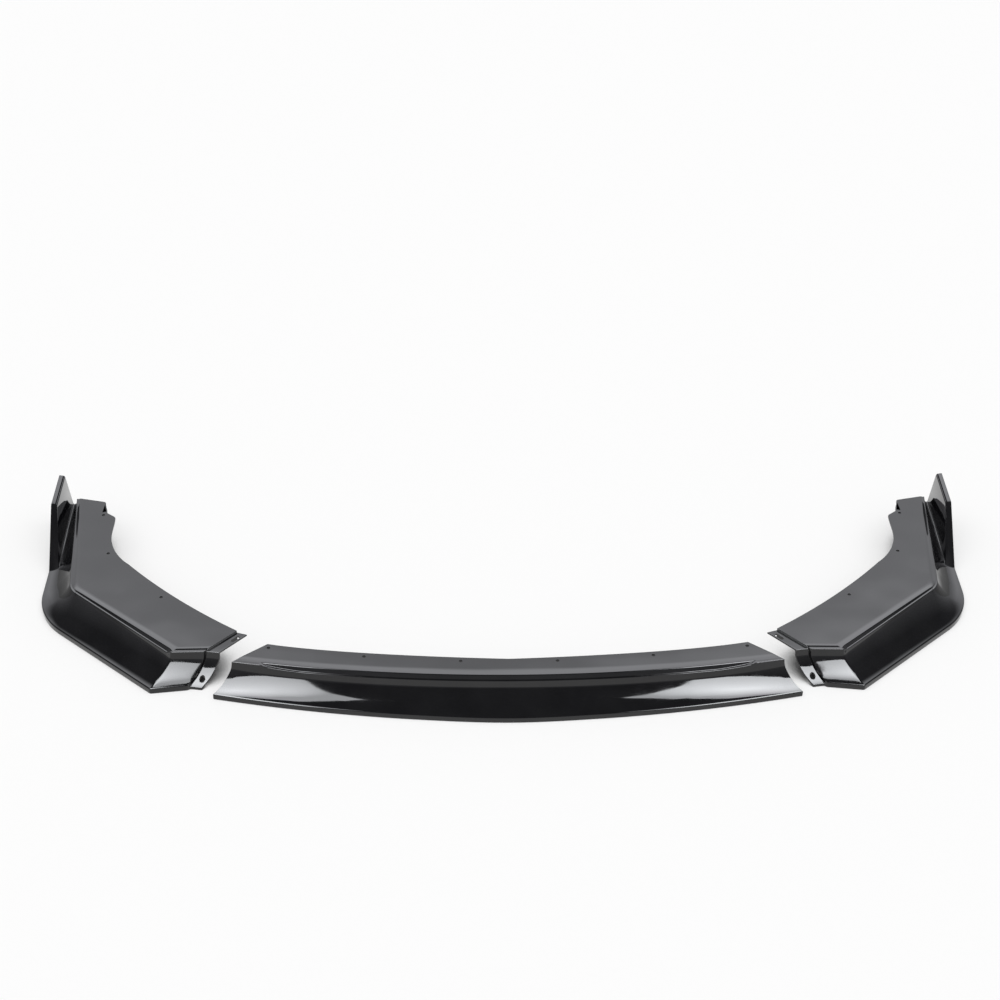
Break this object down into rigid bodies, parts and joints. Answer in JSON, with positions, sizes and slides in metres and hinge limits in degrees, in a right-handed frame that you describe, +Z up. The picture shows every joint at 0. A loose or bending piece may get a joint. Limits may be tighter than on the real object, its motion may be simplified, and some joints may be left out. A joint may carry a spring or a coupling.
{
  "type": "front splitter lip",
  "caption": "Front splitter lip for a car bumper: a bowed centre blade and mirrored corner blades with upturned winglets, thin gloss black mouldings laid out as they fit.",
  "frame": {"origin": "middle of the laid-out set in plan, on the floor that the rims stand on", "axes": "+X across the car, +Y to the rear of the car, +Z up; the rims look to -Y"},
  "size_m": [1.925, 0.6768, 0.1195],
  "materials": {
    "gloss_black": "gloss"
  },
  "bodies": {
    "root": {"centre_blade": "gloss_black", "left_corner_blade": "gloss_black", "right_corner_blade": "gloss_black"}
  },
  "joints": []
}
